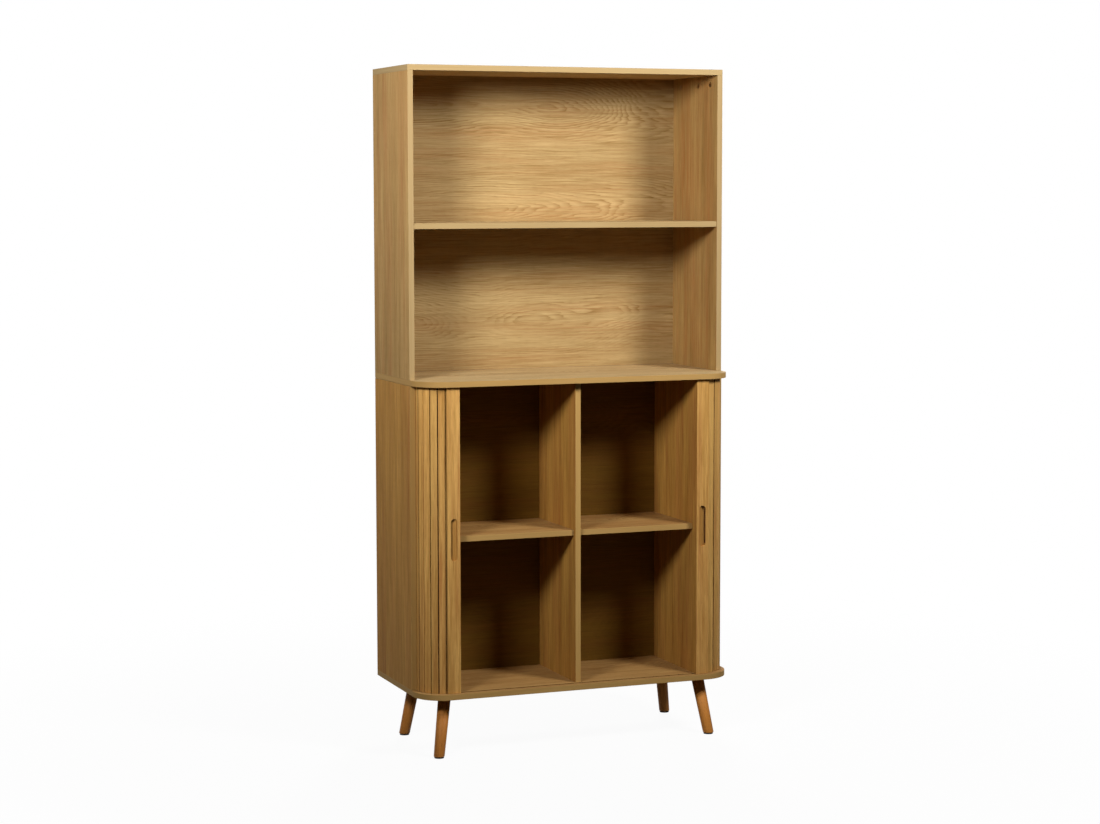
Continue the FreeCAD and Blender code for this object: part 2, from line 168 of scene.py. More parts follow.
class Finish:
    # A material in the making: its nodes, and the one method that adds to them. The world
    # around the object has nodes of the same kind, so it may be finished in the same way.
    def __init__(self, name, collection=bpy.data.materials):
        self.material = collection.new(name)
        self.material.use_nodes = True
        self.tree = self.material.node_tree
        self.tree.nodes.clear()

    def node(self, kind, settings=None, inputs=(), output=0):
        made = self.tree.nodes.new(kind)
        for key, setting in (settings or {}).items():
            if key == "stops":
                ramp = made.color_ramp.elements
                while len(ramp) < len(setting):
                    ramp.new(1.0)
                for element, (position, level) in zip(ramp, setting):
                    element.position = position
                    element.color = (level, level, level, 1)
            else:
                setattr(made, key, setting)
        pairs = inputs.items() if isinstance(inputs, dict) else enumerate(inputs)
        for key, given in pairs:
            if isinstance(given, Value):
                self.tree.links.new(given.socket, made.inputs[key])
            else:
                made.inputs[key].default_value = given
        return Value(self, made.outputs[output]) if made.outputs else None

    def noise(self, place, stretch, detail, roughness=0.5):
        # Clouds of noise, packed more densely along an axis with a larger stretch.
        spot = self.node("ShaderNodeMapping", None, {"Vector": place, "Scale": stretch})
        sockets = {"Vector": spot, "Scale": 1.0, "Detail": detail, "Roughness": roughness}
        return self.node("ShaderNodeTexNoise", None, sockets)

    def mix(self, share, first, second):
        # Colours are mixed here, never by maths, which would turn them grey. The node has
        # a set of sockets for each type of data, and 6, 7 and 2 are those for colours.
        sockets = {0: share, 6: first, 7: second}
        return self.node("ShaderNodeMix", {"data_type": "RGBA"}, sockets, 2)

    def ramp(self, value, *stops):
        return self.node("ShaderNodeValToRGB", {"stops": stops}, [value])

    def close(self, colour, roughness, height, depth, **constants):
        # The shader itself. Constants go on its own sockets.
        relief = {"Height": height, "Strength": 1.0, "Distance": depth}
        bump = self.node("ShaderNodeBump", None, relief)
        sockets = {"Base Color": colour, "Roughness": roughness, "Normal": bump}
        for key, constant in constants.items():
            sockets[key.replace("_", " ")] = constant
        shader = self.node("ShaderNodeBsdfPrincipled", None, sockets)
        self.node("ShaderNodeOutputMaterial", None, {"Surface": shader})
        return self.material


print("a half bright colour is", round(linear(128, 128, 128)[0], 2), "in linear light")


# %% [markdown]
# ## Oak
#
# Every board is covered with an oak foil whose print is a real veneer. A veneer shows
# the tree's rings cut lengthwise. Near the heart of a leaf the knife meets them almost
# flat, which draws pointed arches and closed eyes, and towards the leaf's edges it meets
# them steeply, which draws close straight lines. So the rings are not painted as
# stripes: the distance from a tree axis that wanders and swells is worked out at each
# point, and its remainder after division by the ring width is the place within a ring.
# A leaf is only as wide as its tree, so the print mirrors itself from leaf to leaf.
#
# A real print shows its rings in one place and hides them in the next, so patches and
# short strokes of noise break the figure up. Stripes, fine lines, pores and reddish
# streaks are noise as well, packed across the grain and stretched along it.
#
# All of it reads one vector per point: x along the grain, y across the face and z into
# the board. Each wooden piece stores that vector on its mesh, with its own shift, so no
# two pieces are cut from the same spot and one material serves boards laid either way.
#
# Four cuts serve every piece: a crown cut with arches and eyes for what lies and for the
# wide back, straight grain for what stands, a closer one for slats, and a quiet one for
# the inner back. Each kind of board has its own tone. The boards inside get darker tones
# as painted shade: the hutch's back and right side, and the cabinet's walls, floors and
# inner back.

# %% Oak
wood_gloss = 0.06
rust = linear(164, 96, 54)
pore_brown = linear(92, 62, 30)
pore_share = 0.22


def oak(name, pale, dark, leaf, heart, arch, ring, figure, stripes, lines, redness,
        object_grain=None):
    wood = Finish(name)
    if object_grain is None:
        stored = {"attribute_name": "grain"}
        grain = wood.node("ShaderNodeAttribute", stored, output="Vector")
    else:
        grain = wood.node("ShaderNodeTexCoord", output="Object")
        grain = wood.node(
            "ShaderNodeMapping", None, {"Vector": grain, "Rotation": object_grain})
    along = wood.node("ShaderNodeSeparateXYZ", None, [grain], "X")
    across = wood.node("ShaderNodeSeparateXYZ", None, [grain], "Y")

    wander = wood.noise(grain, (1.2, 3.0, 4.0), 2.0) - 0.5
    swell = wood.noise(grain, (2.7, 4.2, 9.0), 1.5) - 0.5
    ripple = wood.noise(grain, (8.0, 110.0, 110.0), 3.0, 0.6) - 0.5
    leaf_place = across.maths("PINGPONG", across + 0.07 * wander, leaf / 2)
    depth = heart + 0.06 * along + arch * swell
    seasons = wood.noise(grain, (1.3, 17.0, 17.0), 2.0) - 0.5
    from_heart = (leaf_place * leaf_place + depth * depth) ** 0.5
    turns = from_heart / ring + 1.5 * ripple + 3.0 * seasons
    ring_place = turns.maths("FRACT", turns)
    late_wood = wood.ramp(
        ring_place, (0.0, 0.1), (0.25, 0.0), (0.75, 0.7), (0.9, 1.0), (1.0, 0.1))
    nearness = wood.ramp(leaf_place / leaf, (0.05, 1.0), (0.36, 0.35))
    patches = wood.noise(grain, (2.4, 11.0, 11.0), 2.0)
    patches = wood.ramp(patches, (0.36, 0.3), (0.6, 1.0))
    strokes = wood.noise(grain, (7.0, 75.0, 75.0), 2.0)
    strokes = wood.ramp(strokes, (0.38, 0.15), (0.58, 1.0))

    tone = wood.noise(grain, (0.9, 13.0, 13.0), 2.0)
    band = wood.noise(grain, (1.8, 30.0, 30.0), 3.0, 0.6)
    streak = wood.noise(grain, (6.0, 170.0, 170.0), 3.0, 0.7)
    fibre = wood.noise(grain, (14.0, 480.0, 480.0), 2.0)
    dash = wood.noise(grain, (45.0, 1500.0, 1500.0), 1.0)
    pores = wood.ramp(dash, (0.56, 0.0), (0.68, 1.0))

    shade = figure * patches * strokes * nearness * (late_wood - 0.4)
    shade = shade + 0.6 * (tone - 0.5) + stripes * (band - 0.5)
    shade = shade + lines * (streak - 0.5) + 0.55 * fibre + 0.13
    colour = wood.mix(shade, pale, dark)
    warmth = wood.noise(grain, (1.6, 26.0, 26.0), 3.0, 0.6)
    warmth = wood.ramp(warmth, (0.4, 0.0), (0.62, 1.0))
    glow = wood.noise(grain, (4.5, 240.0, 240.0), 2.0)
    glow = wood.ramp(glow, (0.46, 0.0), (0.66, 1.0))
    colour = wood.mix(redness * (0.45 + glow) * warmth, colour, rust)
    colour = wood.mix(pore_share * pores, colour, pore_brown)
    roughness = 0.56 + 0.14 * fibre + 0.08 * pores
    height = 0.45 * streak + 0.35 * fibre - 0.6 * pores - 0.15 * late_wood
    return wood.close(colour, roughness, height, 0.0002, Specular_IOR_Level=wood_gloss)


# Leaf width, distance of the heart, depth of its arches and ring width, then how much
# shows of the figure, of the stripes, of the fine lines and of the red.
crown_cut = (0.29, 0.040, 0.18, 0.0068, 0.85, 0.6, 1.2, 0.16)
straight_cut = (0.50, 0.160, 0.10, 0.0060, 0.16, 1.1, 1.25, 0.34)
slat_cut = (0.40, 0.120, 0.02, 0.0050, 0.16, 1.3, 1.35, 0.38)
inner_cut = (0.29, 0.040, 0.19, 0.0068, 0.30, 0.4, 0.5, 0.1)
crown_oak = oak(
    "crown_cut_oak", linear(216, 188, 138), linear(153, 122, 72), *crown_cut)
# A darker copy of the crown oak, as painted shade on the hutch's back.
shaded_back_oak = oak(
    "hutch_back_painted_shade_oak", linear(184, 157, 108), linear(130, 99, 54), *crown_cut)
# Darker again, as painted shade on the floors inside the cabinet.
shaded_floor_oak = oak(
    "cabinet_floor_painted_shade_oak", linear(193, 152, 93), linear(135, 94, 46), *crown_cut)
# Much darker, as painted shade on the inner back.
shaded_inner_oak = oak(
    "inner_back_painted_shade_oak", linear(118, 86, 29), linear(70, 43, 9), *inner_cut)
hutch_oak = oak(
    "hutch_side_oak", linear(193, 157, 100), linear(134, 99, 50), *straight_cut)
side_oak = oak(
    "cabinet_side_oak", linear(207, 156, 81), linear(139, 94, 38), *straight_cut)
# Darker than the left side, as painted shade on the right side's inner face.
shaded_right_hutch_oak = oak(
    "hutch_right_painted_shade_oak", linear(179, 146, 90), linear(125, 90, 44), *straight_cut)
# Darker than the outer sides, as painted shade on the walls inside the cabinet.
shaded_wall_oak = oak(
    "cabinet_wall_painted_shade_oak", linear(195, 147, 72), linear(130, 87, 32), *straight_cut)
slat_colours = (linear(219, 172, 98), linear(159, 111, 49))
slat_oak = oak("slat_oak", *slat_colours, *slat_cut)
# A paler copy of the slat oak, as painted light on the two slats on each turn.
painted_light_slat_oak = oak(
    "painted_light_slat_oak", linear(242, 190, 109), linear(176, 123, 55), *slat_cut)
upright = (0, math.radians(90), 0)
hidden_slat_oak = oak("hidden_slat_oak", *slat_colours, *slat_cut, upright)
print("oaks:", sum("oak" in material.name for material in bpy.data.materials))


# %% [markdown]
# ## Edge bands
#
# The raw edges of coated board are covered by a thin band, which is printed plainer and
# paler than the faces. Its lines run along the edge, so boards that lie and boards that
# stand need the noise packed along different axes. Real bands are not cut from the
# face's print either, which is why they get a material of their own. The hutch's band is
# a paler one than the cabinet's.

# %% Edge bands
def edge_band(name, stretch, pale, dark):
    band = Finish(name)
    place = band.node("ShaderNodeTexCoord", output="Object")
    line = band.noise(place, stretch, 3.0, 0.6)
    cloud = band.noise(place, (4.0, 4.0, 4.0), 1.0)
    colour = band.mix(0.9 * line + 0.5 * cloud - 0.3, pale, dark)
    roughness = 0.52 + 0.12 * line
    return band.close(colour, roughness, line, 0.0001, Specular_IOR_Level=wood_gloss)


lying = (5.0, 5.0, 620.0)
standing = (620.0, 620.0, 5.0)
level_band = edge_band(
    "hutch_level_band", lying, linear(177, 152, 107), linear(151, 121, 77))
deck_band = edge_band(
    "cabinet_level_band", lying, linear(186, 149, 90), linear(157, 119, 65))
hutch_band = edge_band(
    "hutch_band", standing, linear(175, 150, 107), linear(149, 120, 77))
cabinet_band = edge_band(
    "cabinet_band", standing, linear(190, 153, 91), linear(162, 121, 65))
print("bands:", sum("band" in material.name for material in bpy.data.materials))


# %% [markdown]
# ## Leg wood, raw board, canvas and metal
#
# The legs are solid beech, stained a golden brown. Beech has no rings worth seeing, but
# its fibres and the short dark flecks of its rays show under the stain.
#
# Under the foil the board is brown chips and glue. It comes to light where a saw or a
# cutter went through: in grooves and holes, in the finger pulls and on the flanks of the
# slats, and there it is given a far darker brown than its own, as painted shade. The
# thin panels are hardboard, bare on the side that nobody sees and matted like felt.
# Nothing of this has a direction, so two grades of noise do for all of it, and for the
# metal of the fittings too. The canvas behind the slats is a plain weave, which two
# waves at right angles draw well enough for cloth seen only from behind.

# %% Other finishes
def leg_beech():
    wood = Finish("stained_beech")
    stored = {"attribute_name": "grain"}
    grain = wood.node("ShaderNodeAttribute", stored, output="Vector")
    tone = wood.noise(grain, (5.0, 30.0, 30.0), 2.0)
    fibre = wood.noise(grain, (16.0, 520.0, 520.0), 3.0, 0.6)
    fleck = wood.noise(grain, (120.0, 900.0, 900.0), 1.0)
    fleck = wood.ramp(fleck, (0.6, 0.0), (0.7, 1.0))
    shade = 1.1 * tone + 0.7 * fibre - 0.45
    colour = wood.mix(shade, linear(220, 144, 62), linear(146, 86, 29))
    colour = wood.mix(0.35 * fleck, colour, linear(88, 48, 18))
    height = 0.6 * fibre - 0.5 * fleck
    return wood.close(colour, 0.42 + 0.16 * fibre, height, 0.0002, Specular_IOR_Level=0.2)


def mottled(name, pale, dark, density, roughness, depth, **constants):
    # Two grades of noise between two colours, for everything without a grain.
    stuff = Finish(name)
    place = stuff.node("ShaderNodeTexCoord", output="Object")
    coarse = stuff.noise(place, (density,) * 3, 3.0, 0.6)
    fine = stuff.noise(place, (8 * density,) * 3, 2.0)
    colour = stuff.mix(1.2 * coarse + 0.5 * fine - 0.35, pale, dark)
    roughness = roughness + 0.15 * (fine - 0.5)
    return stuff.close(colour, roughness, 0.5 * coarse + 0.5 * fine, depth, **constants)


weave_density = 2600.0


def woven_canvas():
    cloth = Finish("tambour_canvas")
    place = cloth.node("ShaderNodeTexCoord", output="Object")
    level = cloth.node("ShaderNodeSeparateXYZ", None, [place], "Z")
    side = cloth.node("ShaderNodeSeparateXYZ", None, [place], "Y")
    round_about = side + cloth.node("ShaderNodeSeparateXYZ", None, [place], "X")
    warp = round_about.maths("SINE", weave_density * round_about)
    weft = level.maths("SINE", weave_density * level)
    thread = 0.25 * warp * weft + 0.5
    slub = cloth.noise(place, (60.0, 60.0, 60.0), 2.0)
    shade = 0.5 * thread + 0.5 * slub
    colour = cloth.mix(shade, linear(150, 138, 116), linear(96, 86, 70))
    return cloth.close(colour, 0.85 + 0.1 * slub, thread, 0.0002, Sheen_Weight=0.2)


beech = leg_beech()
hardboard = mottled(
    "bare_hardboard", linear(142, 108, 74), linear(104, 76, 48),
    90, 0.8, 0.0003)
# Raw board, far darker than it really is: painted shade in grooves, holes, pulls and
# between slats.
raw_core_and_shade = mottled(
    "raw_board_and_painted_shade", linear(84, 48, 22), linear(56, 29, 11),
    200, 0.85, 0.0002, Specular_IOR_Level=0.05)
pale_beech = mottled(
    "dowel_beech", linear(216, 188, 148), linear(186, 152, 108),
    160, 0.6, 0.0002)
felt = mottled(
    "glide_felt", linear(52, 44, 38), linear(28, 23, 19),
    240, 0.9, 0.0004)
zinc = mottled(
    "cam_zinc", linear(196, 164, 112), linear(142, 110, 66),
    300, 0.42, 0.00005, Metallic=1.0)
steel = mottled(
    "plated_steel", linear(206, 206, 208), linear(164, 164, 168),
    200, 0.30, 0.00003, Metallic=1.0)
brass = mottled(
    "insert_brass", linear(214, 176, 104), linear(170, 132, 66),
    260, 0.35, 0.00004, Metallic=1.0)
canvas = woven_canvas()
print("finishes:", len(bpy.data.materials))


# %% [markdown]
# ## Pieces
#
# A finished piece is a mesh with its place in its vertices, materials in its slots, the
# body it rides on, and the CAD node it stands for. The grain vector is a layer of the
# bmesh, so it survives extrusions and bevels, and is written once the piece still lies
# in the position in which its maker would mark the grain on it.

# %% Piece helpers
AXES = {"x": Vector((1, 0, 0)), "y": Vector((0, 1, 0)), "z": Vector((0, 0, 1))}
depth_step = 0.61
cut_count = 0


def new_shape():
    # The grain layer is there from the start, because adding a layer later would make
    # every point that the script still holds invalid.
    shape = bmesh.new()
    shape.verts.layers.float_vector.new("grain")
    return shape


def lay_grain(shape, verts, along, across, heart_shift):
    # Stores x along the grain, y across it and z into the piece. Each piece is taken
    # from another depth of the tree, so that no two have the same figure.
    global cut_count
    cut_count += 1
    into = along.cross(across)
    layer = shape.verts.layers.float_vector["grain"]
    for vert in verts:
        sideways = vert.co.dot(across) + heart_shift
        inwards = vert.co.dot(into) + depth_step * cut_count
        vert[layer] = (vert.co.dot(along), sideways, inwards)


def round_edges(shape, edges, size, segments):
    bmesh.ops.bevel(
        shape, geom=edges, offset=size, offset_type="OFFSET", segments=segments,
        profile=0.5, affect="EDGES", material=-1, clamp_overlap=True)


def mirror_to_left(shape):
    # Left pieces are built as right ones. The mirror turns their faces inside out.
    bmesh.ops.scale(shape, vec=(-1, 1, 1), verts=shape.verts)
    bmesh.ops.reverse_faces(shape, faces=shape.faces)


def finished(name, shape, materials, body, nodes=()):
    mesh = bpy.data.meshes.new(name)
    shape.to_mesh(mesh)
    shape.free()
    for material in materials:
        mesh.materials.append(material)
    piece = bpy.data.objects.new(name, mesh)
    bpy.context.scene.collection.objects.link(piece)
    if body:
        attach(piece, body)
    if nodes:
        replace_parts(piece, *nodes)
    return piece


print("neighbouring pieces are cut", depth_step, "m apart in the tree")


# %% [markdown]
# ## Boards
#
# The CAD boards are right to a tenth of a millimetre, with the grooves that the curtains
# run in and the holes of the fittings, so they are not built again. A copy of each has
# its loose triangles merged into whole faces, and its outer edges are broken by a little
# over half a millimetre, as an edge-banding machine leaves them. A face counts as outer
# when no point of the board lies in front of it, which takes in the rounded corners and
# leaves out every groove and hole. The two broad sides get the veneer, the other outer
# faces the band, and grooves and holes show the raw board, darkened as painted shade.
#
# Where the cabinet's top lies on the sides, the joint never closes quite: the sides end
# a little short of it, and the shadow in that gap is the thin line that the eye sees.

# %% Boards
arris = 0.0006
top_seam = 0.0007
same_point = 0.00001
same_level = 0.00002
same_plane = math.radians(0.4)
real_edge = math.radians(45)


def copied(node):
    shape = new_shape()
    shape.from_mesh(frame["nodes"][node].data)
    bmesh.ops.remove_doubles(shape, verts=shape.verts, dist=same_point)
    bmesh.ops.dissolve_limit(
        shape, angle_limit=same_plane, verts=shape.verts, edges=shape.edges)
    return shape


def outer_faces(shape):
    points = [vert.co.copy() for vert in shape.verts]
    found = set()
    for face in shape.faces:
        normal = face.normal
        level = face.calc_center_median().dot(normal) + same_level
        if all(point.dot(normal) <= level for point in points):
            found.add(face)
    return found


def break_outer_edges(shape):
    outer = outer_faces(shape)
    sharp = [
        edge for edge in shape.edges
        if len(edge.link_faces) == 2 and set(edge.link_faces) <= outer
        and edge.calc_face_angle(0) > real_edge
    ]
    round_edges(shape, sharp, arris, 2)
    return len(sharp)


def shorten(shape, seam):
    head = max(vert.co.z for vert in shape.verts)
    for vert in shape.verts:
        if vert.co.z > head - 0.0001:
            vert.co.z -= seam


def board(node, along, across, veneer, edging, heart_shift=0.0, bare_back=None, seam=0.0):
    shape = copied(node)
    shorten(shape, seam)
    count = break_outer_edges(shape)
    lay_grain(shape, shape.verts, AXES[along], AXES[across], heart_shift)
    into = AXES[along].cross(AXES[across])
    outer = outer_faces(shape)
    for face in shape.faces:
        face.material_index = 0 if abs(face.normal.dot(into)) > 0.95 else 1
        if bare_back is not None and face.normal.y > 0.95:
            face.material_index = 3
        elif face not in outer:
            face.material_index = 2
        face.smooth = False
    # Grooves and holes get the raw board in its darkened colour, as painted shade.
    materials = [veneer, edging, raw_core_and_shade]
    if bare_back is not None:
        materials.append(bare_back)
    name = "finished_" + node
    piece = finished(name, shape, materials, "carcass", [node])
    print(name, len(piece.data.polygons), "faces,", count, "edges broken")
    return piece


far_from_heart = 0.27
near_heart = 0.02
for node in ("cabinet_side_left", "cabinet_side_right"):
    board(node, "z", "y", side_oak, cabinet_band, far_from_heart, seam=top_seam)
for node in ("inner_wall_left", "inner_wall_right", "divider"):
    board(node, "z", "y", shaded_wall_oak, cabinet_band, far_from_heart)
board("hutch_side_left", "z", "y", hutch_oak, hutch_band, far_from_heart)
board("hutch_side_right", "z", "y", shaded_right_hutch_oak, hutch_band, far_from_heart)
for node in ("hutch_shelf", "hutch_top"):
    board(node, "x", "y", crown_oak, level_band)
board("cabinet_top", "x", "y", crown_oak, deck_band)
for node in ("cabinet_bottom", "half_shelf_left", "half_shelf_right"):
    board(node, "x", "y", shaded_floor_oak, deck_band)
thin_panels = {
    "hutch_back": shaded_back_oak, "inner_back": shaded_inner_oak, "cabinet_rear_panel": crown_oak,
}
for node, veneer in thin_panels.items():
    panel = board(node, "x", "z", veneer, hardboard, near_heart, bare_back=hardboard)


# %% [markdown]
# ## Tambour slats
#
# A tambour slat is a thin strip, a little narrower at its back so that it can lean
# towards its neighbour on a curve, with its two front edges rounded. The rounding and
# the raw flanks, darker than raw board is as painted shade, make the fine dark lines
# between slats. On the turn the joints open, and there two slats get a paler oak on
# face and flanks alike, as painted light. Each slat is built lying at the origin, given
# its grain there, and only then stood on the curtain's path: along the front, round a
# corner of known radius and back along the side.

# %% Tambour slats
slat_pitch = 0.020
slat_front = 0.0194
slat_back = 0.0182
slat_thickness = 0.008
slat_rounding = 0.0017
tenon = Vector((0.012, 0.005, 0.0065))
track_radius = 0.062
track_setback = 0.022
clearance = 0.001
corner_slats = 5
painted_light_corner_slats = (2, 3)
corner_cut_start = 0.05
corner_cut_step = 0.031

pocket_low, pocket_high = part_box("right_pocket_slats")
lead_low, lead_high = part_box("right_lead_slat")
slat_low = pocket_low.z + tenon.z
slat_high = pocket_high.z - tenon.z
slat_length = slat_high - slat_low
slat_middle = (slat_low + slat_high) / 2
corner = Vector((
    pocket_high.x - slat_thickness / 2 - track_radius,
    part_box("cabinet_bottom")[0].y + track_setback + track_radius, slat_middle))


def add_slat(shape, heart_shift):
    # One slat lying about the origin, its front towards -Y. Returns its points.
    before = set(shape.verts)
    bmesh.ops.create_cube(shape, size=1.0)
    verts = [v for v in shape.verts if v not in before]
    bmesh.ops.scale(shape, vec=(slat_front, slat_thickness, slat_length), verts=verts)
    rear = [v for v in verts if v.co.y > 0]
    bmesh.ops.scale(shape, vec=(slat_back / slat_front, 1, 1), verts=rear)
    front = [v for v in verts if v.co.y < 0]
    front_edges = [
        e for e in shape.edges
        if e.calc_length() > slat_length / 2 and all(v in front for v in e.verts)]
    round_edges(shape, front_edges, slat_rounding, 4)
    core = bmesh.ops.create_cube(shape, size=1.0)["verts"]
    bmesh.ops.scale(shape, vec=(tenon.x, tenon.y, slat_length + 2 * tenon.z), verts=core)
    verts = [v for v in shape.verts if v not in before]
    for face in {face for vert in verts for face in vert.link_faces}:
        # The flanks take the second material: dark raw board as painted shade, or on the
        # turn the paler oak as painted light.
        face.material_index = 1 if abs(face.normal.x) > 0.8 else 0
    lay_grain(shape, verts, AXES["z"], AXES["x"], heart_shift)
    return verts


def corner_slat(number, side):
    # The slat stands on the arc at its distance from the front, and faces outwards.
    distance = lead_high.x + clearance + slat_pitch / 2 - corner.x + number * slat_pitch
    turn = min(distance / track_radius, math.radians(90))
    past = distance - turn * track_radius
    out = Vector((math.sin(turn), -math.cos(turn), 0))
    place = corner + track_radius * out + Vector((0, past, 0))
    shape = new_shape()
    verts = add_slat(shape, corner_cut_start + corner_cut_step * number)
    about = Matrix.Rotation(turn, 3, "Z")
    bmesh.ops.rotate(shape, verts=verts, cent=(0, 0, 0), matrix=about)
    bmesh.ops.translate(shape, verts=verts, vec=place)
    if side == "left":
        mirror_to_left(shape)
    node = side + "_corner_slat_" + str(number + 1)
    materials = [slat_oak, raw_core_and_shade]
    # The two slats on the turn get the paler oak all over, as painted light.
    if number in painted_light_corner_slats:
        materials = [painted_light_slat_oak, painted_light_slat_oak]
    return finished("finished_" + node, shape, materials, "carcass", [node])


for side in ("left", "right"):
    for number in range(corner_slats):
        corner_slat(number, side)
print("slats are", round(slat_length * 1000), "mm long")


# %% [markdown]
# ## The curtain's front run
#
# With a door closed, slats fill the front from the lead slat to the corner. With it open
# they are in the pocket. The front run is built as it stands when the door is closed, and
# each point is then moved back by its own smooth share of the travel. All of it lands
# inside the thick lead slat, out of sight. The share depends on the folded place, so that
# place is found by halving the interval again and again.

# %% Front runs
door_travel = frame["joints"][0]["range_m"][1]
inside_lead = 0.0005
fold_width = 0.006
fold_start = lead_high.x - inside_lead
fold_end = fold_start - fold_width
halvings = 40
run_slats = 17
run_cut_start = 0.33
run_cut_step = 0.017
canvas_thickness = 0.0008
canvas_margin = 0.010


def folded(shown):
    # Where a point that is shown at this x, with the door closed, is with it open.
    low, high = 0.0, 1.0
    for _ in range(halvings):
        share = (low + high) / 2
        place = fold_start - share * (fold_start - fold_end)
        if place - door_travel * share * share * (3 - 2 * share) > shown:
            low = share
        else:
            high = share
    return fold_start - low * (fold_start - fold_end)


def front_run(side):
    shape = new_shape()
    for number in range(run_slats):
        verts = add_slat(shape, run_cut_start - run_cut_step * number)
        across = lead_high.x + clearance + slat_pitch / 2 - (number + 1) * slat_pitch
        spot = (across, corner.y - track_radius, slat_middle)
        bmesh.ops.translate(shape, verts=verts, vec=spot)
    backing = bmesh.ops.create_cube(shape, size=1.0)["verts"]
    sheet = (run_slats * slat_pitch, canvas_thickness, slat_length - 2 * canvas_margin)
    bmesh.ops.scale(shape, vec=sheet, verts=backing)
    middle = lead_high.x + clearance - run_slats * slat_pitch / 2
    behind = corner.y - track_radius + slat_thickness / 2 + canvas_thickness / 2
    bmesh.ops.translate(shape, verts=backing, vec=(middle, behind, slat_middle))
    cloth = {face for vert in backing for face in vert.link_faces}
    for face in cloth:
        face.material_index = 2
    for vert in shape.verts:
        vert.co.x = folded(vert.co.x)
    if side == "left":
        mirror_to_left(shape)
    materials = [slat_oak, raw_core_and_shade, canvas]
    run = finished(side + "_curtain_front_run", shape, materials, None)
    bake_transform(run)
    return run


for side in ("left", "right"):
    run = front_run(side)
    print(run.name, len(run.data.polygons), "faces")


# %% [markdown]
# ## Lead slats
#
# The lead slat is a thick stile with a stadium-shaped finger pull. The pull's floor is
# deepest on the side away from the leading edge and slopes up towards it, so that a
# fingertip finds a wall to push against. A stadium is a circle whose halves were drawn
# apart. The front is filled between it and the stile's border, the border is drawn back
# into the body, and the stadium is drawn in to the floor, which is cut where its slope
# begins. Small bevels on the rim and larger ones on the long edges catch the light.

# %% Lead slats
pull_width = 0.018
pull_height = 0.111
pull_level = 0.582
pull_inset = 0.017
pull_shallow = 0.0019
pull_deep = 0.0092
pull_floor_flat = 0.003
pull_steps = 40
rim_rounding = 0.0005
lead_rounding = 0.0015
lead_tenon = 0.018
lead_cut = 0.02
pull_centre = Vector((lead_low.x + pull_inset, lead_low.y, pull_level))
half_straight = (pull_height - pull_width) / 2


def round_pull(vert):
    # The angle at which a point lies round the pull's middle, to put points in order.
    return math.atan2(vert.co.z - pull_centre.z, vert.co.x - pull_centre.x)


def points_of(geometry):
    return [item for item in geometry if isinstance(item, bmesh.types.BMVert)]


def pull_outline(shape):
    circle = bmesh.ops.create_circle(shape, segments=pull_steps, radius=pull_width / 2)
    rim = circle["verts"]
    half_step = Matrix.Rotation(math.pi / pull_steps, 3, "Z")
    stood_up = Matrix.Rotation(math.radians(90), 3, "X")
    bmesh.ops.rotate(shape, verts=rim, cent=(0, 0, 0), matrix=stood_up @ half_step)
    for vert in rim:
        vert.co.z += math.copysign(half_straight, vert.co.z)
    bmesh.ops.translate(shape, verts=rim, vec=pull_centre)
    return list(shape.edges)


def draw_stile(shape, rim_edges):
    corners = ((lead_low.x, slat_low), (lead_high.x, slat_low),
               (lead_high.x, slat_high), (lead_low.x, slat_high))
    border = [shape.verts.new((x, lead_low.y, z)) for x, z in corners]
    border_edges = [shape.edges.new((border[i], border[i - 1])) for i in range(4)]
    bmesh.ops.triangle_fill(
        shape, use_beauty=True, edges=rim_edges + border_edges, normal=(0, -1, 0))
    back = points_of(bmesh.ops.extrude_edge_only(shape, edges=border_edges)["geom"])
    bmesh.ops.translate(shape, verts=back, vec=(0, lead_high.y - lead_low.y, 0))
    shape.faces.new(sorted(back, key=round_pull))


def mill_pull(shape, rim_edges):
    # The deep wall, up to the top of its arc, gets the dark raw board: painted shade.
    # The floor gets the darker oak of the cabinet's sides: painted shade in the recess.
    drawn = bmesh.ops.extrude_edge_only(shape, edges=rim_edges)["geom"]
    for face in drawn:
        if isinstance(face, bmesh.types.BMFace):
            middle = face.calc_center_median()
            if middle.x > pull_centre.x and middle.z > pull_level - half_straight:
                face.material_index = 1
    floor = points_of(drawn)
    bmesh.ops.translate(shape, verts=floor, vec=(0, pull_deep, 0))
    milled = shape.faces.new(sorted(floor, key=round_pull))
    milled.material_index = 2
    crease = pull_centre.x + pull_width / 2 - pull_floor_flat
    cut = bmesh.ops.bisect_plane(
        shape, geom=[milled] + milled.edges[:] + milled.verts[:],
        plane_co=(crease, 0, 0), plane_no=(1, 0, 0))["geom_cut"]
    rise = (pull_deep - pull_shallow) / (pull_width - pull_floor_flat)
    for vert in set(floor) | set(points_of(cut)):
        vert.co.y -= rise * max(0, crease - vert.co.x)


def round_front_edges(shape):
    front = [v for v in shape.verts if abs(v.co.y - lead_low.y) < 1e-6]
    at_front = [e for e in shape.edges if all(v in front for v in e.verts)]
    turned = [e for e in at_front if e.calc_face_angle(0) > math.radians(30)]
    around_pull = [e for e in turned if abs(e.verts[0].co.z - pull_level) < pull_height]
    long_edges = [e for e in turned if e.calc_length() > slat_length / 2]
    round_edges(shape, around_pull, rim_rounding, 4)
    round_edges(shape, long_edges, lead_rounding, 4)


